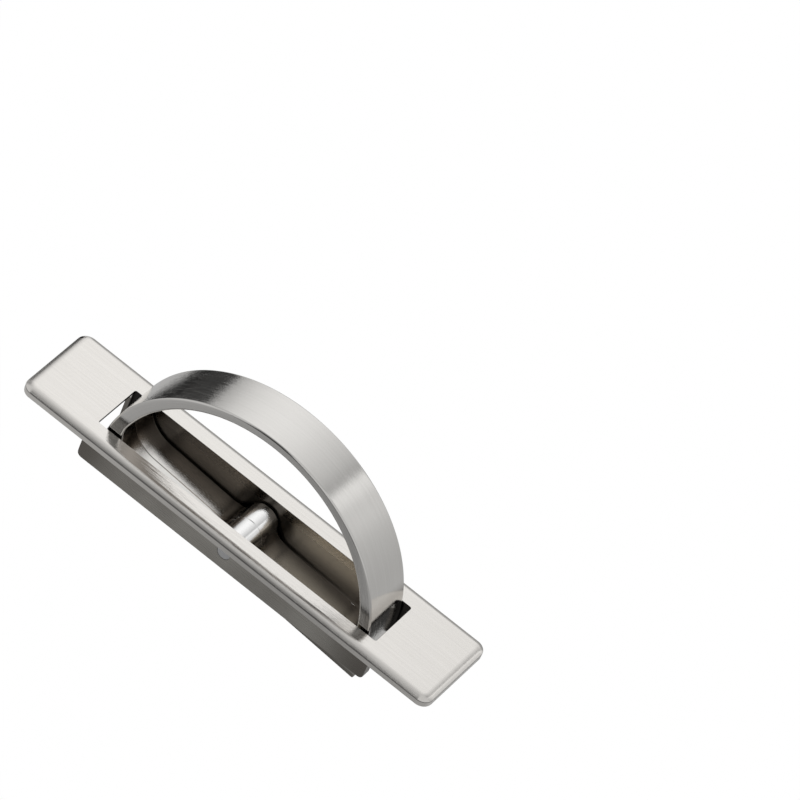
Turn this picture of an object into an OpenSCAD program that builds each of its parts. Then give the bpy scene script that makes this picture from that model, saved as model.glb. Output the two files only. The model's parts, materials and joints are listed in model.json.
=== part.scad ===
// Recessed flip pull handle: a long cover plate with a window, two side
// cheeks below it, and a D-shaped handle that turns right over on a cross pin.
// Origin: centre of the plane the plate seats on. X runs along the plate,
// Y across it, Z out of the panel. The handle stands up, leaning a little.

/* [Cover plate] */
// Length of the plate
plate_l = 150; // [140:1:180]
// Width of the plate
plate_w = 30.5; // [28:0.5:40]
// Height of the plate above the panel
plate_h = 3.1; // [2.6:0.1:4]
// Radius of the plate's corners in plan
corner_r = 3.5; // [3:0.5:6]
// Width of the rolled edge around the top
roll_w = 2.75; // [1.5:0.25:2.75]
// How far the rolled edge falls
roll_drop = 1; // [0.5:0.1:1.2]
// Rounding of the crease between the rolled edge and the side
crease_r = 0.4; // [0.2:0.1:0.6]
// Thickness of the cast skin over the hollow ends
skin_t = 1; // [0.8:0.1:1.4]
// Width of the rim around the hollow ends
rim_w = 2.2; // [1.6:0.1:3]

/* [Window and cheeks] */
// Length of the window
window_l = 102.7; // [102.5:0.1:104]
// Width of the window
window_w = 17.7; // [17.5:0.1:19]
// Radius in the window's corners
window_r = 0.6; // [0.2:0.1:1]
// Length of the side cheeks
cheek_l = 106; // [104:1:112]
// Thickness of the side cheeks
cheek_t = 2.55; // [2:0.05:3]
// How far the cheeks hang below the seating plane
cheek_drop = 11.35; // [9:0.05:14]
// Radius of the cheeks' lower corners
cheek_r = 1.6; // [0.5:0.1:3]

/* [Handle] */
// Outer radius of the arch, about the pin
arch_r = 49.1; // [48:0.1:49.5]
// Thickness of the arch at its crown
arch_t = 3.05; // [2.5:0.05:4]
// Height of the inner curve's centre above the pin, which thickens the arch towards its feet
inner_lift = 1.6; // [0.2:0.1:3]
// Width of the handle across the plate
handle_w = 16.55; // [15:0.05:16.6]
// Thickness of the flat base
base_t = 5.35; // [4.5:0.05:6]
// Height above the pin at which the flanks leave the arch
flank_h = 5; // [3:0.5:8]
// Radius of the fillets where the base meets the arch
root_r = 11; // [6:0.5:14]
// Rounding of the long edges
edge_r = 0.6; // [0.2:0.1:1]
// How far the handle leans from upright, in degrees
lean = 4.5; // [0:0.5:360]

/* [Pivot] */
// Depth of the pin's axis below the plate's top, and half the handle's swing
pin_depth = 8.35; // [8:0.05:9]
// Diameter of the cross pin
pin_d = 4.5; // [3:0.1:5]
// Chamfer on the pin's ends
pin_chamfer = 0.3; // [0.1:0.1:0.6]
// Gap around the pin inside the handle
running_gap = 0.05; // [0.03:0.01:0.1]
// Radius of the hub around the pin
hub_r = 5; // [4.5:0.1:5.5]
// Radius of the hollows beside the hub
hub_fillet = 6; // [4:0.5:8]
// Step on the hub where the two halves of the mould met
mould_step = 0.25; // [0:0.05:0.4]
// Outside diameter of the friction washers
washer_d = 8; // [6:0.5:9]
// Thickness of the friction washers
washer_t = 0.5; // [0.3:0.05:0.55]

/* [Fixing] */
// Distance between the two fixing screws
screw_pitch = 128; // [124:1:132]
// Tapping diameter of the M4 screw holes
screw_d = 3.3; // [3.2:0.05:3.4]
// Diameter of the screw bosses
boss_d = 7; // [6:0.5:8]
// How far the bosses stand below the seating plane
boss_drop = 5; // [2:0.5:8]

/* [Hidden] */
$fn = 96;
pin_z = plate_h - pin_depth;
cheek_y = window_w / 2 + cheek_t;
base_top = base_t - pin_depth;
hollow_h = plate_h - skin_t;
// a circle that leaves the top level and has fallen by roll_drop at the edge
roll_r = (roll_w * roll_w + roll_drop * roll_drop) / (2 * roll_drop);
// the crease is a small circle that touches the roll from inside, and the side
crease_a = acos((roll_w - crease_r) / (roll_r - crease_r));
crease_z = plate_h - roll_r + (roll_r - crease_r) * sin(crease_a);
inner_r = arch_r - arch_t - inner_lift;
// each of the arch's two bands stops short of the other one's rounded edges
band_t = arch_t - edge_r - 0.08;
// the lining runs on by this angle, and ends inside the base
lining_a = 10;
// the flanks are tangents to the arch, so their lean is its angle there
flank_a = asin(flank_h / arch_r);
flank_len = (flank_h + pin_depth) / cos(flank_a);
root_x = sqrt(pow(inner_r - root_r, 2) - pow(base_top + root_r - inner_lift, 2));
hub_fillet_x = sqrt(pow(hub_r + hub_fillet, 2) - pow(base_top + hub_fillet, 2));
// the flat face has slightly tighter edges than the arch
flat_edge_r = 0.8 * edge_r;
over = 1;
steel = [0.74, 0.73, 0.71];
nickel = [0.80, 0.79, 0.77];

module rounded_box_outline(l, w, r) {
    square([l - 2 * r, w], center = true);
    square([l, w - 2 * r], center = true);
    for (x = [-1, 1], y = [-1, 1])
        translate([x * (l / 2 - r), y * (w / 2 - r)])
            circle(r = r);
}

// half of the plate's section: reach is the distance from the middle to the edge
module rolled_section(reach) {
    difference() {
        square([reach, plate_h]);
        translate([reach - roll_w, plate_h - roll_drop])
            difference() {
                square([roll_w + over, roll_drop + over]);
                translate([0, roll_drop - roll_r])
                    circle(r = roll_r, $fn = 180);
            }
        // what the crease's rounding takes off, from the side to the touching point
        translate([reach - crease_r, crease_z])
            difference() {
                intersection() {
                    square([crease_r + over, crease_r + over]);
                    rotate(crease_a)
                        translate([0, -2 * over])
                            square([2 * over, 2 * over]);
                }
                circle(r = crease_r);
            }
    }
}

module full_section(reach) {
    rolled_section(reach);
    mirror([1, 0])
        rolled_section(reach);
}

// cover plate without its openings: two crossing bars and four turned corners
module plate_blank() {
    rotate([90, 0, 90])
        linear_extrude(height = plate_l - 2 * corner_r, center = true)
            full_section(plate_w / 2);
    rotate([90, 0, 0])
        linear_extrude(height = plate_w - 2 * corner_r, center = true)
            full_section(plate_l / 2);
    for (x = [-1, 1], y = [-1, 1])
        translate([x * (plate_l / 2 - corner_r), y * (plate_w / 2 - corner_r), 0])
            rotate_extrude()
                rolled_section(corner_r);
}

// hollow under one end of the plate, open towards the window
module end_hollow(side) {
    inner = window_l / 2 - over;
    outer = plate_l / 2 - rim_w;
    translate([side * (inner + outer) / 2, 0, -over])
        linear_extrude(height = hollow_h + over)
            rounded_box_outline(outer - inner, plate_w - 2 * rim_w, corner_r - rim_w + 0.4);
}

// one cheek, drawn from the side and stood beside the window
module cheek(side) {
    top = hollow_h + skin_t / 2;
    translate([0, side * (cheek_y - cheek_t / 2), 0])
        rotate([90, 0, 0])
            linear_extrude(height = cheek_t, center = true) {
                translate([-cheek_l / 2, cheek_r - cheek_drop])
                    square([cheek_l, top + cheek_drop - cheek_r]);
                translate([cheek_r - cheek_l / 2, -cheek_drop])
                    square([cheek_l - 2 * cheek_r, cheek_drop]);
                for (x = [-1, 1])
                    translate([x * (cheek_l / 2 - cheek_r), cheek_r - cheek_drop])
                        circle(r = cheek_r);
            }
}

module screw_boss(side) {
    translate([side * screw_pitch / 2, 0, -boss_drop])
        cylinder(d = boss_d, h = boss_drop + hollow_h + skin_t / 2);
}

module screw_hole(side) {
    translate([side * screw_pitch / 2, 0, -boss_drop - over])
        cylinder(d = screw_d, h = boss_drop + over + plate_h - 1.5);
}

module pin_bore(d) {
    translate([0, 0, pin_z])
        rotate([90, 0, 0])
            cylinder(d = d, h = plate_w + 2 * over, center = true);
}

module frame() {
    color(nickel)
        difference() {
            union() {
                difference() {
                    plate_blank();
                    for (side = [-1, 1])
                        end_hollow(side);
                }
                for (side = [-1, 1]) {
                    cheek(side);
                    screw_boss(side);
                }
            }
            translate([0, 0, -cheek_drop - over])
                linear_extrude(height = cheek_drop + plate_h + 2 * over)
                    rounded_box_outline(window_l, window_w, window_r);
            for (side = [-1, 1])
                screw_hole(side);
            pin_bore(pin_d);
        }
}

// section across the arch or the base, thick along X
module band_section(thickness) {
    rounded_box_outline(thickness, handle_w, edge_r);
}

// drawn in the handle's own upright frame, with the pin at the origin
module side_extrude(width) {
    rotate([90, 0, 0])
        linear_extrude(height = width, center = true)
            children();
}

// band between two radii, its edges rounded only at the second one
module half_rounded_section(r_square, r_round, width) {
    reach = abs(r_round - r_square);
    translate([(r_round + r_square) / 2, 0]) {
        rounded_box_outline(reach, width, edge_r);
        translate([(r_square - r_round) / 4, 0])
            square([reach / 2, width], center = true);
    }
}

// the outer band turns about the pin, and a lining about the raised centre
module arch() {
    rotate([90, 0, 0]) {
        rotate([0, 0, flank_a])
            rotate_extrude(angle = 180 - 2 * flank_a, $fn = 180)
                half_rounded_section(arch_r - band_t, arch_r, handle_w);
        translate([0, inner_lift])
            rotate([0, 0, -lining_a])
                rotate_extrude(angle = 180 + 2 * lining_a, $fn = 180)
                    half_rounded_section(inner_r + band_t, inner_r, handle_w - 0.04);
    }
}

// straight flank, a tangent running down from the end of the arch
module flank() {
    rotate([0, -flank_a, 0])
        translate([0, 0, -flank_len])
            linear_extrude(height = flank_len)
                half_rounded_section(arch_r - band_t, arch_r, handle_w);
}

// drawn too deep, and cut off level with the feet of the flanks later
module base_bar() {
    reach = arch_r - arch_t / 2;
    depth = base_t + 2 * over;
    translate([0, 0, base_top - depth / 2])
        rotate([0, 90, 0])
            linear_extrude(height = 2 * reach, center = true)
                band_section(depth);
}

// what the rounding takes off one long edge of the flat face
module long_edge_cut(side) {
    translate([0, side * (handle_w / 2 - flat_edge_r), flat_edge_r - pin_depth])
        rotate([90, 0, 90])
            linear_extrude(height = plate_l, center = true)
                difference() {
                    mirror([side < 0 ? 1 : 0, 0])
                        translate([0, -flat_edge_r - over])
                            square([flat_edge_r + over, flat_edge_r + over]);
                    circle(r = flat_edge_r);
                }
}

// the corner between base and arch, filled up to a round
module root_fillet() {
    side_extrude(handle_w - edge_r)
        difference() {
            intersection() {
                translate([root_x, base_top - over])
                    square([arch_r, root_r + over]);
                circle(r = arch_r - arch_t + over, $fn = 180);
            }
            translate([root_x, base_top + root_r])
                circle(r = root_r, $fn = 180);
            translate([0, base_top + root_r - 0.001])
                square([arch_r, root_r]);
        }
}

// concave sweep from the base up to the hub
module hub_sweep() {
    side_extrude(handle_w - edge_r)
        difference() {
            translate([0, base_top - over])
                square([hub_fillet_x, hub_fillet * hub_r / (hub_r + hub_fillet) + over]);
            translate([hub_fillet_x, base_top + hub_fillet])
                circle(r = hub_fillet);
        }
}

module hub_half(r, side) {
    rotate([side * -90, 0, 0])
        rotate_extrude()
            difference() {
                square([r, handle_w / 2]);
                translate([r - edge_r, handle_w / 2 - edge_r])
                    difference() {
                        square(edge_r + over);
                        circle(r = edge_r);
                    }
            }
}

module handle_upright() {
    difference() {
        union() {
            arch();
            base_bar();
            for (turn = [0, 180])
                rotate([0, 0, turn]) {
                    flank();
                    root_fillet();
                    hub_sweep();
                }
            hub_half(hub_r, 1);
            hub_half(hub_r + mould_step, -1);
        }
        rotate([90, 0, 0])
            cylinder(d = pin_d + 2 * running_gap, h = handle_w + 2 * over, center = true);
        // the flanks end level with the base's flat face
        translate([-plate_l / 2, -plate_w / 2, -pin_depth - 2 * base_t])
            cube([plate_l, plate_w, 2 * base_t]);
        for (side = [-1, 1])
            long_edge_cut(side);
    }
}

module flip_handle() {
    color(nickel)
        translate([0, 0, pin_z])
            rotate([0, lean, 0])
                handle_upright();
}

module pivot_pin() {
    reach = cheek_y;
    color(steel)
        translate([0, 0, pin_z])
            rotate([90, 0, 0])
                union() {
                    cylinder(d = pin_d, h = 2 * (reach - pin_chamfer), center = true);
                    for (turn = [0, 180])
                        rotate([turn, 0, 0])
                            translate([0, 0, reach - pin_chamfer])
                                cylinder(d1 = pin_d, d2 = pin_d - 2 * pin_chamfer, h = pin_chamfer);
                }
}

// thin ring in the gap between the handle and one cheek
module friction_washer(side) {
    gap_mid = (handle_w + window_w) / 4;
    color(steel)
        translate([0, side * gap_mid, pin_z])
            rotate([90, 0, 0])
                difference() {
                    cylinder(d = washer_d, h = washer_t, center = true);
                    cylinder(d = pin_d + 2 * running_gap, h = washer_t + 2 * over, center = true);
                }
}

module washer_near() {
    friction_washer(-1);
}

module washer_far() {
    friction_washer(1);
}

frame();
flip_handle();
pivot_pin();
washer_near();
washer_far();
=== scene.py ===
# %% [markdown]
# # A recessed flip pull handle in brushed nickel
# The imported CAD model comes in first. It is the fixed frame: every piece modelled below
# rides on one of its bodies, so that the handle still turns on its pin at any pose.

# %% Load the fixed frame
import json
import math

import bmesh
import bpy
from mathutils import Matrix, Vector

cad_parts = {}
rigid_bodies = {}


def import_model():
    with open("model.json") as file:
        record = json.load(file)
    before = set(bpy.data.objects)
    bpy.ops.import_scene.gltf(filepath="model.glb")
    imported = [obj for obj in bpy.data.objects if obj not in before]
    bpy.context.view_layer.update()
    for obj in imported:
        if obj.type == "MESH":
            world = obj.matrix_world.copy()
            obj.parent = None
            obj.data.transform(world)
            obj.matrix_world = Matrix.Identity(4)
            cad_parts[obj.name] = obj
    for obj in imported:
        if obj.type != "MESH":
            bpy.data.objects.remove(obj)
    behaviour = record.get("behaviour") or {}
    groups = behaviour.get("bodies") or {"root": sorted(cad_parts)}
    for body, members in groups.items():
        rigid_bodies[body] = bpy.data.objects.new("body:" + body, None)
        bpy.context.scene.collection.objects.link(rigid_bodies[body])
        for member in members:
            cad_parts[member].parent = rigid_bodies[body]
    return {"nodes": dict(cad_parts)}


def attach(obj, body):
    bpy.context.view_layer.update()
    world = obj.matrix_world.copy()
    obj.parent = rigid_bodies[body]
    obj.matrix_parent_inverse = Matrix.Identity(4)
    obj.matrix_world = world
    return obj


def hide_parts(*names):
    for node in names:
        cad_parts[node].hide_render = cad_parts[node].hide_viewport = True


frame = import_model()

for extra in [o for o in bpy.data.objects if o.name in ("Cube", "Light", "Camera")]:
    bpy.data.objects.remove(extra)
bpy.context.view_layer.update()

# %% [markdown]
# The sizes repeat the ones the part was designed with, in millimetres, and `mm` turns
# them into Blender's metres. The origin is the middle of the plane the plate seats on,
# X runs along the plate, Y across it and Z towards the hand.

# %% Sizes of the real thing
def mm(value):
    return value * 0.001


PLATE_L, PLATE_W, PLATE_H = mm(150), mm(30.5), mm(3.1)
CORNER_R = mm(3.5)
ROLL_W, ROLL_DROP = mm(2.75), mm(1.0)
SKIN_T, RIM_W = mm(1.0), mm(2.2)
WINDOW_L, WINDOW_W, WINDOW_R = mm(102.7), mm(17.7), mm(0.6)
CHEEK_L, CHEEK_T, CHEEK_DROP, CHEEK_R = mm(106), mm(2.55), mm(11.35), mm(1.6)
SCREW_PITCH, SCREW_D, BOSS_D, BOSS_DROP = mm(128), mm(3.3), mm(7), mm(5)

ARCH_R, ARCH_T, HANDLE_W = mm(49.1), mm(3.05), mm(16.55)
BASE_T, FLANK_H, ROOT_R = mm(5.35), mm(5), mm(10.5)
LEAN = math.radians(4.5)
PIN_DEPTH, PIN_D, PIN_CHAMFER = mm(8.35), mm(4.5), mm(0.3)
HUB_R, HUB_FILLET = mm(5), mm(6)
RUNNING_GAP = mm(0.05)
PIN_Z = PLATE_H - PIN_DEPTH
CHEEK_Y = WINDOW_W / 2 + CHEEK_T
print("the pin's axis lies at z =", round(PIN_Z * 1000, 2), "mm")

# %% [markdown]
# The camera comes early, because everything is judged through it. A long lens from far
# away keeps the plate's long edges nearly parallel, as in the photograph, and the whole
# picture is rolled by 24 degrees. A Track To constraint would aim the camera, but without
# the roll, so its three directions are worked out from azimuth, elevation and roll. An
# offset slides it sideways, so that the handle sits in the lower left of the frame
# without any lens shift.

# %% Camera
CAM_AZIMUTH, CAM_ELEVATION, CAM_ROLL = (math.radians(v) for v in (18.62, 47.51, 24.03))
CAM_DISTANCE, CAM_RIGHT, CAM_UP = mm(2045.7), mm(41.28), mm(32.58)
LENS_MM, SENSOR_MM = 324.0, 36.0

towards_camera = Vector((
    math.sin(CAM_AZIMUTH) * math.cos(CAM_ELEVATION),
    -math.cos(CAM_AZIMUTH) * math.cos(CAM_ELEVATION),
    math.sin(CAM_ELEVATION),
))
level_right = Vector((math.cos(CAM_AZIMUTH), math.sin(CAM_AZIMUTH), 0))
level_up = towards_camera.cross(level_right)
cam_right = math.cos(CAM_ROLL) * level_right + math.sin(CAM_ROLL) * level_up
cam_up = math.cos(CAM_ROLL) * level_up - math.sin(CAM_ROLL) * level_right
cam_place = (Vector((0, 0, PLATE_H)) + CAM_DISTANCE * towards_camera
             + CAM_RIGHT * cam_right + CAM_UP * cam_up)

camera_data = bpy.data.cameras.new("product_camera")
camera_data.lens = LENS_MM
camera_data.sensor_width = SENSOR_MM
camera_data.clip_start, camera_data.clip_end = 0.1, 20
camera = bpy.data.objects.new("product_camera", camera_data)
bpy.context.scene.collection.objects.link(camera)
turn = Matrix((cam_right, cam_up, towards_camera)).transposed()
camera.matrix_world = Matrix.Translation(cam_place) @ turn.to_4x4()
bpy.context.scene.camera = camera
print("camera at", [round(v, 3) for v in camera.location])

# %% [markdown]
# Modelling by operators means selecting first. These helpers do what a hand does with the
# mouse: clear the selection, pick the vertices, edges or faces that lie in one place, and
# then let an operator work on them.

# %% Helpers for modelling with operators
def start_from(primitive, name, **settings):
    """Add a primitive with nothing else selected and name it."""
    bpy.ops.object.select_all(action="DESELECT")
    primitive(**settings)
    made = bpy.context.object
    made.name = made.data.name = name
    bpy.ops.object.transform_apply(location=True, rotation=True, scale=True)
    return made


def choose(piece):
    """Make this the one selected object, which operators then work on."""
    bpy.ops.object.select_all(action="DESELECT")
    bpy.context.view_layer.objects.active = piece
    piece.select_set(True)


def edit(piece):
    choose(piece)
    bpy.ops.object.mode_set(mode="EDIT")


def leave():
    bpy.ops.object.mode_set(mode="OBJECT")


def pick(kind, test):
    """Select only the vertices, edges or faces that pass the test, and count them."""
    bpy.ops.mesh.select_mode(type=kind)
    bpy.ops.mesh.select_all(action="DESELECT")
    mesh = bmesh.from_edit_mesh(bpy.context.object.data)
    parts = {"VERT": mesh.verts, "EDGE": mesh.edges, "FACE": mesh.faces}[kind]
    chosen = [part for part in parts if test(part)]
    for part in chosen:
        part.select_set(True)
    mesh.select_flush_mode()
    bmesh.update_edit_mesh(bpy.context.object.data)
    return len(chosen)


def rises(edge, axis, more_than):
    """True if the edge runs further than that along the axis: 0 is X, 1 is Y, 2 is Z."""
    return abs(edge.verts[0].co[axis] - edge.verts[1].co[axis]) > more_than


def report(piece):
    """Print the number of faces and the corners of the box, in millimetres."""
    low, high = ([round(end(v.co[i] for v in piece.data.vertices) * 1000, 2)
                  for i in range(3)] for end in (min, max))
    print(piece.name, len(piece.data.polygons), "faces,", low, "to", high, "mm")


# %% [markdown]
# ## The cover plate
# The plate is a flat bar whose top edge rolls off along a shallow arc and meets the
# upright rim at a soft crease. A bevel can't make an arc that stops half way, so the top
# face is inset in small steps, each with its own rise, which follows the arc all round
# the corners too.

# %% Plate blank with its rolled edge
ROLL_R = (ROLL_W ** 2 + ROLL_DROP ** 2) / (2 * ROLL_DROP)
CREASE_R = mm(0.4)
CREASE_A = math.acos((ROLL_W - CREASE_R) / (ROLL_R - CREASE_R))
CREASE_H = PLATE_H - ROLL_R + (ROLL_R - CREASE_R) * math.sin(CREASE_A)
CREASE_STEPS, ROLL_STEPS, CORNER_STEPS = 5, 12, 12


def edge_profile():
    """Points of the rolled edge, as (distance inwards, height), from the rim to the flat."""
    points = []
    for k in range(CREASE_STEPS + 1):
        turn = CREASE_A * k / CREASE_STEPS
        points.append((CREASE_R * (1 - math.cos(turn)),
                       CREASE_H + CREASE_R * math.sin(turn)))
    for k in range(1, ROLL_STEPS + 1):
        turn = CREASE_A + (math.pi / 2 - CREASE_A) * k / ROLL_STEPS
        points.append((ROLL_W - ROLL_R * math.cos(turn),
                       PLATE_H - ROLL_R * (1 - math.sin(turn))))
    return points


plate = start_from(bpy.ops.mesh.primitive_cube_add, "cover_plate_cast", size=1,
                   location=(0, 0, CREASE_H / 2), scale=(PLATE_L, PLATE_W, CREASE_H))
edit(plate)
pick("EDGE", lambda e: rises(e, 2, CREASE_H / 2))
bpy.ops.mesh.bevel(offset=CORNER_R, segments=CORNER_STEPS, affect="EDGES")
pick("FACE", lambda f: f.normal.z > 0.9)
profile = edge_profile()
for before, after in zip(profile, profile[1:]):
    bpy.ops.mesh.inset(thickness=after[0] - before[0], use_even_offset=True,
                       depth=after[1] - before[1])
leave()
report(plate)

# %% [markdown]
# Everything below the plate starts as a plain shape: a block, a post or a round bar. The
# edges that a block has rounded are chosen by the way they run, either the upright ones
# or the lower ones at its two ends.

# %% Blocks, posts and round bars
def block(name, low, high, corner_r, upright=True, segments=6):
    """A box between two corners, its upright edges or its lower ends rounded."""
    size = [b - a for a, b in zip(low, high)]
    middle = [(a + b) / 2 for a, b in zip(low, high)]
    made = start_from(bpy.ops.mesh.primitive_cube_add, name,
                      size=1, location=middle, scale=size)
    edit(made)
    if upright:
        pick("EDGE", lambda e: rises(e, 2, size[2] / 2))
    else:
        pick("EDGE", lambda e: rises(e, 1, size[1] / 2) and e.verts[0].co.z < middle[2])
    bpy.ops.mesh.bevel(offset=corner_r, segments=segments, affect="EDGES")
    leave()
    return made


def post(name, radius, low_z, high_z, x):
    return start_from(bpy.ops.mesh.primitive_cylinder_add, name, vertices=48, radius=radius,
                      depth=high_z - low_z, location=(x, 0, (low_z + high_z) / 2))


def across(name, radius, length, z, around=64):
    """A round bar that lies across the plate, along Y."""
    return start_from(bpy.ops.mesh.primitive_cylinder_add, name, vertices=around,
                      radius=radius, depth=length, location=(0, 0, z),
                      rotation=(math.pi / 2, 0, 0))


# %% [markdown]
# Underneath, the casting is hollow at both ends, so that the metal stays even in
# thickness. Two cheeks hang beside the window and carry the pin, and a tapped boss
# stands under each end. They could be extruded from the plate's own faces, but that
# would need cuts all through its top. Booleans add and remove them one by one, in the
# order in which a pattern maker would build them up, and leave the top alone.

# %% Hollow ends, cheeks and bosses
EXTRA, SPARE = mm(1), mm(0.5)
HOLLOW_H, HOLLOW_R = PLATE_H - SKIN_T, mm(1.7)
WELD_H = HOLLOW_H + SKIN_T / 2
FAR_CHEEK_DEEPER = mm(0.4)


def combine(piece, other, operation):
    """Join two solids with a Boolean and use the second one up."""
    choose(piece)
    mod = piece.modifiers.new("combine", "BOOLEAN")
    mod.operation = operation
    mod.solver = "EXACT"
    mod.object = other
    bpy.ops.object.modifier_apply(modifier=mod.name)
    bpy.data.objects.remove(other)


def cut_away(piece, cutter):
    """Take the cutter's shape out, as a mill would."""
    combine(piece, cutter, "DIFFERENCE")


def weld_on(piece, extra):
    combine(piece, extra, "UNION")


for side in (-1, 1):
    x_low, x_high = sorted((side * (WINDOW_L / 2 - EXTRA), side * (PLATE_L / 2 - RIM_W)))
    cut_away(plate, block("end_hollow", (x_low, RIM_W - PLATE_W / 2, -EXTRA),
                          (x_high, PLATE_W / 2 - RIM_W, HOLLOW_H), HOLLOW_R))
for side in (-1, 1):
    y_low, y_high = sorted((side * (WINDOW_W / 2 - SPARE), side * CHEEK_Y))
    drop = CHEEK_DROP + FAR_CHEEK_DEEPER * (side > 0)
    weld_on(plate, block("cheek", (-CHEEK_L / 2, y_low, -drop),
                         (CHEEK_L / 2, y_high, WELD_H), CHEEK_R, upright=False))
    weld_on(plate, post("boss", BOSS_D / 2, -BOSS_DROP, WELD_H, side * SCREW_PITCH / 2))
print("blocks combined:", len(plate.data.polygons), "faces")

# %% [markdown]
# The window lets the handle swing through the plate. It is cut only now, because one cut
# right through also trims both cheeks to its width. Then come the screw holes, blind so
# that nothing shows from the front, and one hole for the pin through both cheeks.

# %% Window, screw holes and pin holes
SCREW_ROOF = mm(1.5)

cut_away(plate, block(
    "window", (-WINDOW_L / 2, -WINDOW_W / 2, -CHEEK_DROP - EXTRA),
    (WINDOW_L / 2, WINDOW_W / 2, PLATE_H + EXTRA), WINDOW_R, segments=4))
for side in (-1, 1):
    cut_away(plate, post("screw_hole", SCREW_D / 2, -BOSS_DROP - EXTRA,
                         PLATE_H - SCREW_ROOF, side * SCREW_PITCH / 2))
cut_away(plate, across("pin_hole", PIN_D / 2, PLATE_W, PIN_Z))
report(plate)

# %% [markdown]
# The window's rim and the cheeks' lower edges lose their sharpness, as everything does
# that is cast and plated. A Bevel modifier would soften every edge alike, also those
# where a cheek joins the plate, so the edges are picked by their place instead.

# %% Softened edges of the plate
WINDOW_EDGE_R, CHEEK_EDGE_R = mm(0.15), mm(0.2)
SHARP_ANGLE, TOUCH = 1.0, 1e-6


def is_sharp(edge):
    """True where two faces meet at more than about 57 degrees."""
    return len(edge.link_faces) == 2 and edge.calc_face_angle(0) > SHARP_ANGLE


def on_window_rim(vertex):
    return (abs(vertex.co.z - PLATE_H) < TOUCH and abs(vertex.co.x) < WINDOW_L / 2 + TOUCH
            and abs(vertex.co.y) < WINDOW_W / 2 + TOUCH)


def on_cheek_foot(vertex):
    return (vertex.co.z < -CHEEK_DROP + CHEEK_R + TOUCH
            and abs(vertex.co.y) > WINDOW_W / 2 - TOUCH)


edit(plate)
rim_edges = pick("EDGE", lambda e: is_sharp(e) and all(on_window_rim(v) for v in e.verts))
bpy.ops.mesh.bevel(offset=WINDOW_EDGE_R, segments=2, affect="EDGES")
foot_edges = pick("EDGE", lambda e: is_sharp(e) and not rises(e, 1, TOUCH)
                  and all(on_cheek_foot(v) for v in e.verts))
bpy.ops.mesh.bevel(offset=CHEEK_EDGE_R, segments=2, affect="EDGES")
leave()
print("window edges softened:", rim_edges, "cheek edges softened:", foot_edges)

# %% [markdown]
# Smooth shading hides the facets of the rolled edge, but on its own it would also bend
# the light on the flat top. Edges sharper than an angle stay crisp, and the weighted
# normals let large flat faces lead their small neighbours.

# %% Shading, and the plate takes its place
SMOOTH_BELOW_DEG, FLAT_WEIGHT = 32, 90


def finish_surface(piece):
    """Smooth shading that keeps real edges crisp and large flats truly flat."""
    choose(piece)
    bpy.ops.object.shade_smooth_by_angle(angle=math.radians(SMOOTH_BELOW_DEG))
    mod = piece.modifiers.new("flat faces lead", "WEIGHTED_NORMAL")
    mod.keep_sharp = True
    mod.weight = FLAT_WEIGHT
    bpy.ops.object.modifier_apply(modifier=mod.name)


finish_surface(plate)
report(plate)
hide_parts("frame")
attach(plate, "frame")

# %% [markdown]
# ## The flip handle
# The handle is one casting with a constant width, so its side view is everything. Half
# of that outline is drawn with a single travelling point: Spin swings the point round a
# centre and leaves an exact arc behind it, and Extrude pulls it along a straight line.
# A curve object could be drawn instead, but its arcs are only nearly round.
# The inner line goes from the crown down the arch, round the root, along the base and up
# over the hub; the outer line goes down the arch, the leaning flank and the flat face.

# %% A travelling point that draws arcs and lines
def start_point(x, z):
    bpy.ops.mesh.select_all(action="DESELECT")
    bpy.ops.mesh.primitive_plane_add(size=mm(1), location=(x, -HANDLE_W / 2, z))
    bpy.ops.mesh.merge(type="CENTER")


def arc(centre_x, centre_z, degrees, steps):
    """Swing the point round a centre; positive turns from +X towards +Z."""
    bpy.ops.mesh.spin(steps=steps, angle=math.radians(degrees), use_auto_merge=False,
                      center=(centre_x, -HANDLE_W / 2, centre_z), axis=(0, 1, 0))


def line(move_x, move_z, steps):
    for _ in range(steps):
        bpy.ops.mesh.extrude_region_move(
            TRANSFORM_OT_translate={"value": (move_x / steps, 0, move_z / steps)})


INNER_R = ARCH_R - ARCH_T
BASE_TOP = BASE_T - PIN_DEPTH
ROOT_X = math.sqrt((INNER_R - ROOT_R) ** 2 - (BASE_TOP + ROOT_R) ** 2)
ROOT_DEG = math.degrees(math.atan2(BASE_TOP + ROOT_R, ROOT_X))
HUB_X = math.sqrt((HUB_R + HUB_FILLET) ** 2 - (BASE_TOP + HUB_FILLET) ** 2)
HUB_DEG = math.degrees(math.atan2(BASE_TOP + HUB_FILLET, HUB_X))
FLANK_DEG = math.degrees(math.asin(FLANK_H / ARCH_R))
FLANK_RUN = (FLANK_H + PIN_DEPTH) * math.tan(math.radians(FLANK_DEG))
FOOT_X = ARCH_R * math.cos(math.radians(FLANK_DEG)) + FLANK_RUN
ARCH_STEPS, ROOT_STEPS, BASE_STEPS, FILLET_STEPS, HUB_STEPS = 64, 22, 16, 12, 14

handle = start_from(bpy.ops.mesh.primitive_plane_add, "arch_handle_cast", size=mm(1))
edit(handle)
bpy.ops.mesh.select_mode(type="VERT")
bpy.ops.mesh.select_all(action="SELECT")
bpy.ops.mesh.delete(type="VERT")
start_point(0, INNER_R)
arc(0, 0, ROOT_DEG - 90, ARCH_STEPS)
arc(ROOT_X, BASE_TOP + ROOT_R, -90 - ROOT_DEG, ROOT_STEPS)
line(HUB_X - ROOT_X, 0, BASE_STEPS)
arc(HUB_X, BASE_TOP + HUB_FILLET, HUB_DEG - 90, FILLET_STEPS)
arc(0, 0, 90 - HUB_DEG, HUB_STEPS)
inner_count = len(bmesh.from_edit_mesh(handle.data).verts)
start_point(0, ARCH_R)
arc(0, 0, FLANK_DEG - 90, ARCH_STEPS)
line(FLANK_RUN, -FLANK_H - PIN_DEPTH, ROOT_STEPS // 2)
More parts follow.
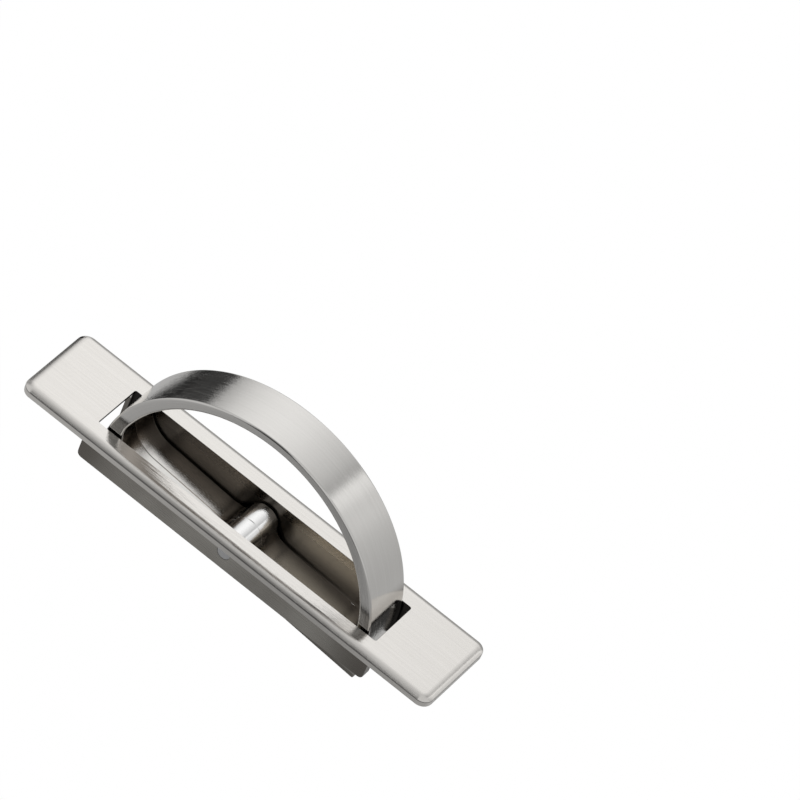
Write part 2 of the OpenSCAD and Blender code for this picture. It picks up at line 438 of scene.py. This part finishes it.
line(-FOOT_X, 0, ROOT_STEPS // 2 + BASE_STEPS + FILLET_STEPS + HUB_STEPS)
print("points on the inner line:", inner_count, "and on both:",
      len(bmesh.from_edit_mesh(handle.data).verts))
leave()
report(handle)

# %% [markdown]
# Both lines have the same number of points, so bridging them gives half of the side view
# as a strip of even faces, where a single filled face would be hard to bend or bevel. A
# mirror makes the other half exactly alike, and one extrusion across the plate turns the
# flat D into a solid band.

# %% From half an outline to a solid band
edit(handle)
bpy.ops.mesh.select_mode(type="EDGE")
bpy.ops.mesh.select_all(action="SELECT")
bpy.ops.mesh.bridge_edge_loops()
leave()
mirror = handle.modifiers.new("other half", "MIRROR")
mirror.use_axis = (True, False, False)
mirror.use_mirror_merge = True
mirror.merge_threshold = mm(0.005)
bpy.ops.object.modifier_apply(modifier=mirror.name)
edit(handle)
bpy.ops.mesh.select_all(action="SELECT")
bpy.ops.mesh.extrude_region_move(TRANSFORM_OT_translate={"value": (0, HANDLE_W, 0)})
bpy.ops.mesh.select_all(action="SELECT")
bpy.ops.mesh.normals_make_consistent(inside=False)
leave()
report(handle)

# %% [markdown]
# The mould that cast the handle had two halves, and they met half way across it. The
# near half of every inner face stands a little proud, and a fine groove runs beside the
# joint, which shows as a dark line along the base and round the hub. Paint could fake
# the line, but a real groove also catches light at the side. Three cuts across Y give
# the step its edges, and then points and faces move along their own normals. The near
# edge of the same faces is drawn in towards the middle, because there the curve of the
# arch is a little tighter.

# %% Mould step along the inner faces
STEP_PROUD, STEP_W = mm(0.05), mm(0.05)
GROOVE_DEPTH, GROOVE_W = mm(0.35), mm(0.35)
NEAR_DRAW_IN = 0.97
INNER_MARGIN, CUT_MARGIN, EDGE_MARGIN = mm(0.2), mm(0.001), mm(0.01)
INWARD_AT_MOST = 0.3

edit(handle)
for cut_y in (-STEP_W, 0, GROOVE_W):
    bpy.ops.mesh.select_all(action="SELECT")
    bpy.ops.mesh.bisect(plane_co=(0, cut_y, 0), plane_no=(0, 1, 0), threshold=CUT_MARGIN)


def on_inner_side(place):
    return (place.z > BASE_TOP - INNER_MARGIN
            and math.hypot(place.x, place.z) < INNER_R + INNER_MARGIN)


def proud_face(face):
    """True for the near half of the inner faces, but not for the near face itself."""
    middle = face.calc_center_median()
    return (middle.y < -STEP_W and abs(face.normal.y) < INWARD_AT_MOST
            and on_inner_side(middle))


sunk = pick("VERT", lambda v: abs(v.co.y) < CUT_MARGIN and on_inner_side(v.co))
bpy.ops.transform.shrink_fatten(value=-GROOVE_DEPTH)
near_loop = pick("VERT", lambda v: v.co.y < EDGE_MARGIN - HANDLE_W / 2
                 and on_inner_side(v.co))
bpy.ops.transform.resize(value=(NEAR_DRAW_IN, 1, 1), center_override=(0, 0, 0))
proud = pick("FACE", proud_face)
bpy.ops.transform.shrink_fatten(value=STEP_PROUD)
leave()
print("points sunk:", sunk, "near points drawn in:", near_loop, "faces raised:", proud)
report(handle)

# %% [markdown]
# The long edges are softened last: rounded outside, fuller on the near inner edge where
# the fingers pull, and only just broken on the far one. A bevel with one width for all
# would be less work, but the width of each highlight tells them apart. The bore is
# drilled after that, so that its rim stays crisp. Then the handle moves onto its pin and
# gets its lean, in which friction holds it.

# %% Rounded edges, bore and lean
OUTER_EDGE_R, NEAR_EDGE_R, FAR_EDGE_R = mm(0.6), mm(0.8), mm(0.15)
ROUND_STEPS = 4


def on_outer_line(vertex):
    return (vertex.co.z < BASE_TOP - mm(1)
            or math.hypot(vertex.co.x, vertex.co.z) > INNER_R + mm(1))


edit(handle)
outer = pick("EDGE", lambda e: is_sharp(e) and all(on_outer_line(v) for v in e.verts))
bpy.ops.mesh.bevel(offset=OUTER_EDGE_R, segments=ROUND_STEPS, affect="EDGES")
print("outer edges:", outer)
for side, radius in ((-1, NEAR_EDGE_R), (1, FAR_EDGE_R)):
    inner = pick("EDGE", lambda e: is_sharp(e)
                 and not any(on_outer_line(v) for v in e.verts)
                 and all(v.co.y * side > HANDLE_W / 2 - EDGE_MARGIN for v in e.verts))
    bpy.ops.mesh.bevel(offset=radius, segments=ROUND_STEPS, affect="EDGES")
    print("inner edges on side", side, ":", inner)
leave()
cut_away(handle, across("bore", PIN_D / 2 + RUNNING_GAP, HANDLE_W * 2, 0))
handle.rotation_euler = (0, LEAN, 0)
handle.location = (0, 0, PIN_Z)
bpy.ops.object.transform_apply(location=True, rotation=True, scale=True)
finish_surface(handle)
report(handle)
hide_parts("flip_handle")
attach(handle, "handle")

# %% [markdown]
# ## Pin and washers
# The pin is a plain turned bar, pressed into both cheeks and cut flush with them, with a
# small chamfer that leaves a fine ring round each end. A thin washer on either side of
# the hub takes up the side play and gives the handle the friction that holds its lean.
# A lathe's work could be spun from a profile, but round bars with bevelled ends and a
# cut eye come to the same shape with less.

# %% Pin and washers
pin = across("pivot_pin_turned", PIN_D / 2, 2 * CHEEK_Y, PIN_Z, around=96)
edit(pin)
pick("EDGE", is_sharp)
bpy.ops.mesh.bevel(offset=PIN_CHAMFER, segments=2, affect="EDGES")
leave()
finish_surface(pin)
report(pin)
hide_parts("pivot_pin")
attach(pin, "frame")

WASHER_D, WASHER_T, WASHER_EDGE_R = mm(8), mm(0.5), mm(0.08)
WASHER_Y = (HANDLE_W + WINDOW_W) / 4
for side, node in ((-1, "washer_near"), (1, "washer_far")):
    washer = across(node + "_ring", WASHER_D / 2, WASHER_T, PIN_Z)
    cut_away(washer, across("eye", PIN_D / 2 + RUNNING_GAP, WASHER_T * 4, PIN_Z))
    edit(washer)
    pick("EDGE", is_sharp)
    bpy.ops.mesh.bevel(offset=WASHER_EDGE_R, segments=2, affect="EDGES")
    leave()
    washer.location = (0, side * WASHER_Y, 0)
    bpy.ops.object.transform_apply(location=True, rotation=True, scale=True)
    finish_surface(washer)
    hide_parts(node)
    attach(washer, "frame")
    report(washer)

# %% [markdown]
# ## Finishes
# In the shader editor the nodes would be dragged and joined by hand. In a script the same
# sums read best as sums. `Wire` wraps one socket: plus, minus and times add Math nodes,
# and `node` adds any other kind.

# %% A small language for shader nodes
class Wire:
    def __init__(self, tree, socket=None):
        self.tree, self.socket = tree, socket

    def node(self, kind, settings=None, inputs=None, out=0):
        """Add a node: settings first, then values or links of its sockets."""
        made = self.tree.nodes.new(kind)
        for key, value in (settings or {}).items():
            setattr(made, key, value)
        for key, value in (inputs or {}).items():
            if isinstance(value, Wire):
                self.tree.links.new(value.socket, made.inputs[key])
            else:
                made.inputs[key].default_value = value
        return Wire(self.tree, made.outputs[out])

    def outputs(self, *names):
        """More outputs of the same node, each as a wire."""
        return [Wire(self.tree, self.socket.node.outputs[name]) for name in names]

    def calc(self, operation, *values):
        return self.node("ShaderNodeMath", {"operation": operation},
                         dict(enumerate(values)))

    def __add__(self, other):
        return self.calc("ADD", self, other)

    def __radd__(self, other):
        return self.calc("ADD", other, self)

    def __sub__(self, other):
        return self.calc("SUBTRACT", self, other)

    def __rsub__(self, other):
        return self.calc("SUBTRACT", other, self)

    def __mul__(self, other):
        return self.calc("MULTIPLY", self, other)

    def size(self):
        return self.calc("ABSOLUTE", self)

    def away(self, other):
        """Distance from the zero point, with this and the other as coordinates."""
        return self.calc("SQRT", self * self + other * other)

    def ramp(self, start, end):
        """A soft step: zero before start, one after end, which may be the lower one."""
        return self.node("ShaderNodeMapRange", {"interpolation_type": "SMOOTHSTEP"},
                         {"Value": self, "From Min": start, "From Max": end})

    def less(self, mask, share):
        """Lose this share where the mask is one."""
        return self * (1 - mask * share)

    def towards(self, value, mask):
        """Fade into another value where the mask is one."""
        return self + mask * (value - self)

    def graph(self, points):
        """Straight lines through (value, result) points, for values from -1 to 1."""
        made = self.node("ShaderNodeValToRGB", {}, {0: self * 0.5 + 0.5})
        band = made.socket.node.color_ramp
        band.interpolation = "LINEAR"
        for end, (value, result) in ((0, points[0]), (1, points[-1])):
            band.elements[end].position = value * 0.5 + 0.5
            band.elements[end].color = (result, result, result, 1)
        for value, result in points[1:-1]:
            band.elements.new(value * 0.5 + 0.5).color = (result, result, result, 1)
        return made

    def tint(self, colour_a, colour_b):
        """Mix two colours, this value being the share of the second."""
        return self.node("ShaderNodeMix", {"data_type": "RGBA"},
                         {0: self, 6: colour_a, 7: colour_b}, out=2)


# %% [markdown]
# Every finish starts from the Principled shader, which can be metal, nylon or dull paint.
# What is the same all over is set on its sockets, and what varies is fed in by a wire.

# %% Materials to start from
def new_material(name, metallic=0.0):
    """A material with its Principled shader, and a wire to build on."""
    made = bpy.data.materials.new(name)
    made.use_nodes = True
    shader = made.node_tree.nodes["Principled BSDF"]
    shader.inputs["Metallic"].default_value = metallic
    return made, shader, Wire(made.node_tree)


def feed(shader, socket, wire):
    wire.tree.links.new(wire.socket, shader.inputs[socket])


def dress(piece, material):
    piece.data.materials.clear()
    piece.data.materials.append(material)


# %% [markdown]
# Brushed metal is a mirror with thousands of fine scratches that all run one way. Along
# a scratch the surface is level, across it the surface tilts, so reflections smear only
# crosswise. The shader's Anisotropic value smears them too, but shows no scratch. A noise
# that is stretched along the scratches and read as height does both. The shader works in
# millimetres here, so that a number is a real length.

# %% Scratches that run one way
FINE_L, FINE_W, FINE_SEED = 9.0, 0.11, 1.3
BROAD_L, BROAD_W, BROAD_SEED = 30.0, 0.6, 7.7


def place_parts(wire, scale=1000.0):
    """Object coordinates as three wires, in millimetres unless another scale is given."""
    place = wire.node("ShaderNodeTexCoord", out="Object")
    split = wire.node("ShaderNodeSeparateXYZ", inputs={0: place})
    return [part * scale for part in split.outputs("X", "Y", "Z")]


def blotches(wire, scale, **settings):
    """Soft noise that is the same in all directions."""
    place = wire.node("ShaderNodeTexCoord", out="Object")
    return wire.node("ShaderNodeTexNoise", {},
                     {"Vector": place, "Scale": scale, **settings}, out="Fac")


def scratches(wire, along, across_a, across_b, length, width, seed):
    """Noise that is long one way and narrow the other two, around zero."""
    vector = wire.node("ShaderNodeCombineXYZ", inputs={
        "X": along * (1 / length), "Y": across_a * (1 / width),
        "Z": across_b * (1 / width)})
    noise = wire.node("ShaderNodeTexNoise", {"noise_dimensions": "4D"},
                      {"Vector": vector, "W": seed, "Scale": 1.0, "Detail": 2.0,
                       "Roughness": 0.6}, out="Fac")
    return noise - 0.5


def brush(shader, wire, ways, depth, rough, waves, patchy):
    """Scratch the surface: height into Bump, a little of it into roughness."""
    fine = scratches(wire, *ways, FINE_L, FINE_W, FINE_SEED)
    broad = scratches(wire, *ways, BROAD_L, BROAD_W, BROAD_SEED)
    bump = wire.node("ShaderNodeBump", {}, {"Strength": 1.0, "Distance": depth,
                                            "Height": fine + broad * waves}, out="Normal")
    feed(shader, "Normal", bump)
    feed(shader, "Roughness", rough + (fine + broad) * patchy)
    return broad


# %% [markdown]
# On the plate the scratches run along X. The face and the rolled edge are bright, and a thin
# line of painted shade darkens the crease. Nobody brushes a casting where it isn't seen, so
# the underside is duller and blotchy. The walls of the window carry painted shade: darker low
# down and towards the left, darker still round the pin and at the left end, and nearly black
# at both ends of the window. Several materials could share the piece, but they would meet in
# hard lines, so one material fades from zone to zone by place.

# %% Brushed nickel on the plate
PLATE_SCRATCH = mm(0.02)
PLATE_SHINE = (0.79, 0.765, 0.73, 1), (0.87, 0.845, 0.81, 1)
# painted shade: a thin dark line for the crease of the rolled edge
CREASE_PAINTED_SHADE = (0.22, 0.21, 0.20, 1)
CAST_BLOTCHES = (0.38, 0.36, 0.33, 1), (0.52, 0.50, 0.46, 1)
CAST_ENDS = (0.13, 0.115, 0.10, 1)
# painted shade for the window walls: darker low down and at the left, darker still round the
# pin, at the left end and at both ends
WALL_LOW_PAINTED_SHADE = (0.105, 0.09, 0.075, 1), (0.15, 0.13, 0.11, 1)
WALL_HIGH_PAINTED_SHADE = (0.29, 0.25, 0.21, 1), (0.64, 0.58, 0.49, 1)
PIN_PAINTED_SHADE = (0.10, 0.088, 0.075, 1)
LEFT_END_PAINTED_SHADE = (0.09, 0.078, 0.066, 1)
WINDOW_END_PAINTED_SHADE = (0.03, 0.028, 0.026, 1)


def brushed_plate():
    made, shader, wire = new_material("brushed nickel, plate", metallic=1.0)
    x, y, z = place_parts(wire)
    size_x, size_y = x.size(), y.size()
    half_l, half_w = WINDOW_L * 500, WINDOW_W * 500
    top, crease = PLATE_H * 1000, CREASE_H * 1000

    below = z.ramp(-0.1, -0.5)
    inside = (size_x.ramp(half_l + 0.4, half_l + 0.2) * size_y.ramp(half_w + 0.4, half_w + 0.2)
              * z.ramp(top - 0.02, top - 0.12))
    in_crease = z.ramp(crease - 0.28, crease - 0.08) * z.ramp(crease + 0.22, crease + 0.04)
    from_pin = x.away(z - PIN_Z * 1000)
    to_right = x.ramp(-25, 25)

    broad = brush(shader, wire, (x, y, z), PLATE_SCRATCH,
                  0.13 + below * 0.14 + inside * 0.1, waves=1.0, patchy=0.12)
    shine = (broad * 1.6 + 0.5).tint(*PLATE_SHINE)
    # a thin line of painted shade along the crease
    shine = (in_crease * 0.75).tint(shine, CREASE_PAINTED_SHADE)
    cast = blotches(wire, 40.0, Detail=2.0).ramp(0.35, 0.7).tint(*CAST_BLOTCHES)
    cast = (size_x.ramp(36, 52) * 0.7).tint(cast, CAST_ENDS)
    # painted shade on the window walls, in place of the nickel's own colour
    wall_shade = z.ramp(-9, 0).tint(to_right.tint(*WALL_LOW_PAINTED_SHADE), to_right.tint(*WALL_HIGH_PAINTED_SHADE))
    wall_shade = from_pin.ramp(11.5, 8).tint(wall_shade, PIN_PAINTED_SHADE)
    wall_shade = x.ramp(-29, -36).tint(wall_shade, LEFT_END_PAINTED_SHADE)
    wall_shade = size_x.ramp(44, 48).tint(wall_shade, WINDOW_END_PAINTED_SHADE)
    bare = wire.calc("MAXIMUM", below, inside)
    feed(shader, "Base Color", bare.tint(shine, inside.tint(cast, wall_shade)))
    return made


# %% [markdown]
# On the handle the scratches run round the pin. The outer side is the brightest. The inner
# side is darker, more so at the left, and a band low on the right leg is darkened as a painted
# reflection of the dark slot. The round hub is lightened as a painted highlight, and a soft
# ring of painted shade lies round it.

# %% Brushed nickel on the handle
HANDLE_SCRATCH = mm(0.015)
ROUND_R = 47.0
HANDLE_SHINE = (0.72, 0.705, 0.68, 1), (0.80, 0.785, 0.76, 1)
# painted reflection of the dark slot, for a band low on the right leg
FOOT_PAINTED_REFLECTION = (0.56, 0.54, 0.515, 1)
INNER_SIDE = (0.42, 0.39, 0.36, 1), (0.66, 0.64, 0.62, 1)
# painted shade for a soft dark ring round the hub
HUB_RING_PAINTED_SHADE = (0.10, 0.09, 0.08, 1)
# painted highlight for the hub, lighter than the nickel elsewhere
HUB_PAINTED_HIGHLIGHT = (0.97, 0.965, 0.96, 1)
UNDER_SIDE = (0.25, 0.235, 0.21, 1)


def brushed_handle():
    made, shader, wire = new_material("brushed nickel, handle", metallic=1.0)
    x, y, z = place_parts(wire)
    z = z - PIN_Z * 1000
    upright = x * math.sin(LEAN) + z * math.cos(LEAN)
    radius = x.away(z)
    angle = wire.calc("ARCTAN2", z, x)

    hub = radius.ramp(6.6, 5.4)
    hub_shade_ring = radius.ramp(14, 9) * radius.ramp(6.0, 7.0) * 0.65
    under = upright.ramp(-5.0, -7.0) * (1 - hub)
    inner_side = radius.ramp(46.9, 46.4) * y.size().ramp(8.0, 7.6) * z.ramp(-1.0, 4.0)
    slot_reflection_band = upright.ramp(22, 17) * upright.ramp(9, 12) * x.ramp(0, 20) * radius.ramp(46.5, 47.5)

    broad = brush(shader, wire, (angle * ROUND_R, y, radius), HANDLE_SCRATCH,
                  0.09 + hub * 0.06 + under * 0.16, waves=0.5, patchy=0.05)
    shine = (broad + 0.5).tint(*HANDLE_SHINE)
    # painted reflection of the dark slot on the right leg's outer face
    shine = slot_reflection_band.tint(shine, FOOT_PAINTED_REFLECTION)
    shine = inner_side.tint(shine, x.ramp(-24, -6).tint(*INNER_SIDE))
    # a soft ring of painted shade round the hub
    shine = hub_shade_ring.tint(shine, HUB_RING_PAINTED_SHADE)
    # the hub is lightened as a painted highlight
    shine = hub.tint(shine, HUB_PAINTED_HIGHLIGHT)
    feed(shader, "Base Color", under.tint(shine, UNDER_SIDE))
    return made


# %% [markdown]
# The pin keeps the fine rings that the lathe left on its ends, and the washers are
# black nylon with a faint grain.

# %% Turned steel and nylon, and who wears what
STEEL = (0.62, 0.62, 0.63, 1), (0.76, 0.76, 0.77, 1)
NYLON = (0.02, 0.02, 0.02, 1), (0.05, 0.05, 0.05, 1)


def turned_steel():
    made, shader, wire = new_material("turned steel", metallic=1.0)
    x, y, z = place_parts(wire)
    radius = x.away(z - PIN_Z * 1000)
    rings = scratches(wire, x * 0.02, radius, y, 1.0, 0.15, 3.1)
    feed(shader, "Roughness", 0.3 + rings * 0.2)
    feed(shader, "Base Color", (rings + 0.5).tint(*STEEL))
    return made


def black_nylon():
    made, shader, wire = new_material("black nylon")
    grain = blotches(wire, 3000.0)
    feed(shader, "Base Color", grain.tint(*NYLON))
    feed(shader, "Roughness", 0.5 + grain * 0.2)
    return made


nickel_plate, nickel_handle = brushed_plate(), brushed_handle()
pin_metal, nylon = turned_steel(), black_nylon()
for piece_name, node_name, finish in (
        ("cover_plate_cast", "frame", nickel_plate),
        ("arch_handle_cast", "flip_handle", nickel_handle),
        ("pivot_pin_turned", "pivot_pin", pin_metal),
        ("washer_near_ring", "washer_near", nylon),
        ("washer_far_ring", "washer_far", nylon)):
    dress(bpy.data.objects[piece_name], finish)
    dress(frame["nodes"][node_name], finish)
    print(piece_name, "wears", finish.name)

# %% [markdown]
# ## Studio
# A metal part shows its surroundings more than itself. Lamps would appear in it as hard
# bright shapes, so there are none: the floor and the world are plain white and light it
# softly from everywhere. The floor lies far below, so that the part can be seen from
# underneath too.

# %% Floor and world
FLOOR_Z, FLOOR_SIZE, FLOOR_GREY, FLOOR_GLOW = -2.6, 60, 0.8, 0.2


def matte(name, grey):
    """A dull paint without any gloss."""
    made, shader, wire = new_material(name)
    shader.inputs["Base Color"].default_value = (grey, grey, grey, 1)
    shader.inputs["Roughness"].default_value = 1.0
    shader.inputs["Specular IOR Level"].default_value = 0.0
    return made, shader, wire


scene = bpy.context.scene
scene.view_settings.view_transform = "Standard"
floor = start_from(bpy.ops.mesh.primitive_plane_add, "floor", size=FLOOR_SIZE,
                   location=(0, 0, FLOOR_Z))
floor_paint, floor_shader, floor_wire = matte("white floor", FLOOR_GREY)
floor_shader.inputs["Emission Color"].default_value = (1, 1, 1, 1)
seen, mirrored, through = floor_wire.node("ShaderNodeLightPath").outputs(
    "Is Camera Ray", "Is Glossy Ray", "Is Transmission Ray")
feed(floor_shader, "Emission Strength",
     (seen + mirrored + through).ramp(0.0, 1.0) * FLOOR_GLOW)
dress(floor, floor_paint)

world = bpy.data.worlds.new("white studio")
scene.world = world
world.use_nodes = True
world.node_tree.nodes["Background"].inputs["Color"].default_value = (1, 1, 1, 1)
world.node_tree.nodes["Background"].inputs["Strength"].default_value = 1.0
print("floor at", FLOOR_Z, "m")

# %% [markdown]
# A light tent stands round the part, and only reflections see it. What the product view
# reflects is a strip across its top and back, drawn here as graphs of brightness: bright
# above and behind, darker towards the camera, where the photographer stands, with a grey
# table below. A few dark things stand round it. The sides and the front, which only the
# other views reflect, are lit evenly.

# %% Light tent
TENT_R = 0.60
# from left to right, over the back of the tent
BACK_GLOW = [(-0.80, 0.40), (-0.72, 0.55), (-0.65, 0.76), (-0.56, 0.88), (-0.44, 0.96),
             (-0.30, 0.98), (-0.20, 0.95), (-0.09, 0.91), (0.04, 0.82), (0.18, 0.72),
             (0.30, 0.63), (0.44, 0.44), (0.49, 0.95), (0.56, 0.88), (0.62, 0.72),
             (0.69, 0.72), (0.74, 0.70), (0.78, 0.60)]
# from the camera's side over the top towards the back
OVER_GLOW = [(-0.97, 0.08), (-0.60, 0.14), (-0.32, 0.38), (0.0, 0.62), (0.35, 0.82),
             (0.55, 1.0)]
# from left to right in front of the part, below it
TABLE_GLOW = [(-0.335, 0.42), (-0.30, 0.36), (-0.25, 0.35), (-0.20, 0.28),
              (-0.15, 0.22), (-0.12, 0.26), (-0.09, 0.36)]
TABLE_BEHIND, SIDE_GLOW = 0.48, 0.62


def only_reflected(thing):
    """Hide it from the camera, and let it throw neither shadow nor soft light."""
    thing.visible_camera = thing.visible_diffuse = thing.visible_shadow = False
    thing.visible_transmission = thing.visible_volume_scatter = False


tent = start_from(bpy.ops.mesh.primitive_uv_sphere_add, "tent", radius=TENT_R, segments=96,
                  ring_count=48)
only_reflected(tent)
tent_cloth, unused_shader, cloth = new_material("tent cloth")
nodes = tent_cloth.node_tree.nodes
nodes.remove(unused_shader)
east, north, up = place_parts(cloth, scale=1 / TENT_R)
level = up.size()

table = east.graph(TABLE_GLOW).towards(TABLE_BEHIND, north.ramp(-0.2, 0.5))
table = table.less(up.ramp(-0.80, -0.97), 0.5)
is_up = up.ramp(-0.25, 0.45)
glow = east.graph(BACK_GLOW) * north.graph(OVER_GLOW) * is_up + table * (1 - is_up)
# a dark wall far off at the left
glow = glow.less(east.ramp(-0.716, -0.732) * north.ramp(0.50, 0.56)
                 * level.ramp(0.30, 0.26), 0.9)
# dark edges of the room, in front and behind
glow = glow.less(north.ramp(-0.85, -0.91) * level.ramp(0.60, 0.50), 0.8)
glow = glow.less(north.ramp(0.86, 0.93) * level.ramp(0.32, 0.26), 0.4)
# shade below the right end
glow = glow.less(east.ramp(0.38, 0.43) * north.ramp(0.50, 0.56) * up.ramp(-0.45, -0.55), 0.9)
# the even light at the sides and in front
product_strip = east.ramp(-0.50, -0.36) * east.ramp(0.0, -0.08)
sides = north.ramp(0.25, 0.05) * (1 - product_strip) * up.ramp(-0.30, 0.15)
glow = glow.towards(SIDE_GLOW, sides)
lit = cloth.node("ShaderNodeEmission", {}, {"Color": (1, 1, 1, 1), "Strength": glow})
tent_cloth.node_tree.links.new(lit.socket, nodes["Material Output"].inputs["Surface"])
dress(tent, tent_cloth)
print("tent of", TENT_R, "m with", len(nodes), "nodes")

# %% [markdown]
# A small black card stands close beside the left end. Its steep edge is what draws the
# slanting left end of the dark patch on the arch.

# %% Black card
CARD_X, CARD_GREY = mm(-120), 0.03
# its corners, as (y, z) in millimetres
CARD_CORNERS = [(50, -46), (50, 14), (62, 20), (90, 20), (81, 5), (71, -46)]

card = start_from(bpy.ops.mesh.primitive_circle_add, "black_card",
                  vertices=len(CARD_CORNERS), radius=mm(100), fill_type="NGON")
for vertex, (card_y, card_z) in zip(card.data.vertices, CARD_CORNERS):
    vertex.co = (CARD_X, mm(card_y), mm(card_z))
only_reflected(card)
dress(card, matte("black card", CARD_GREY)[0])
print("card at x =", CARD_X, "m")
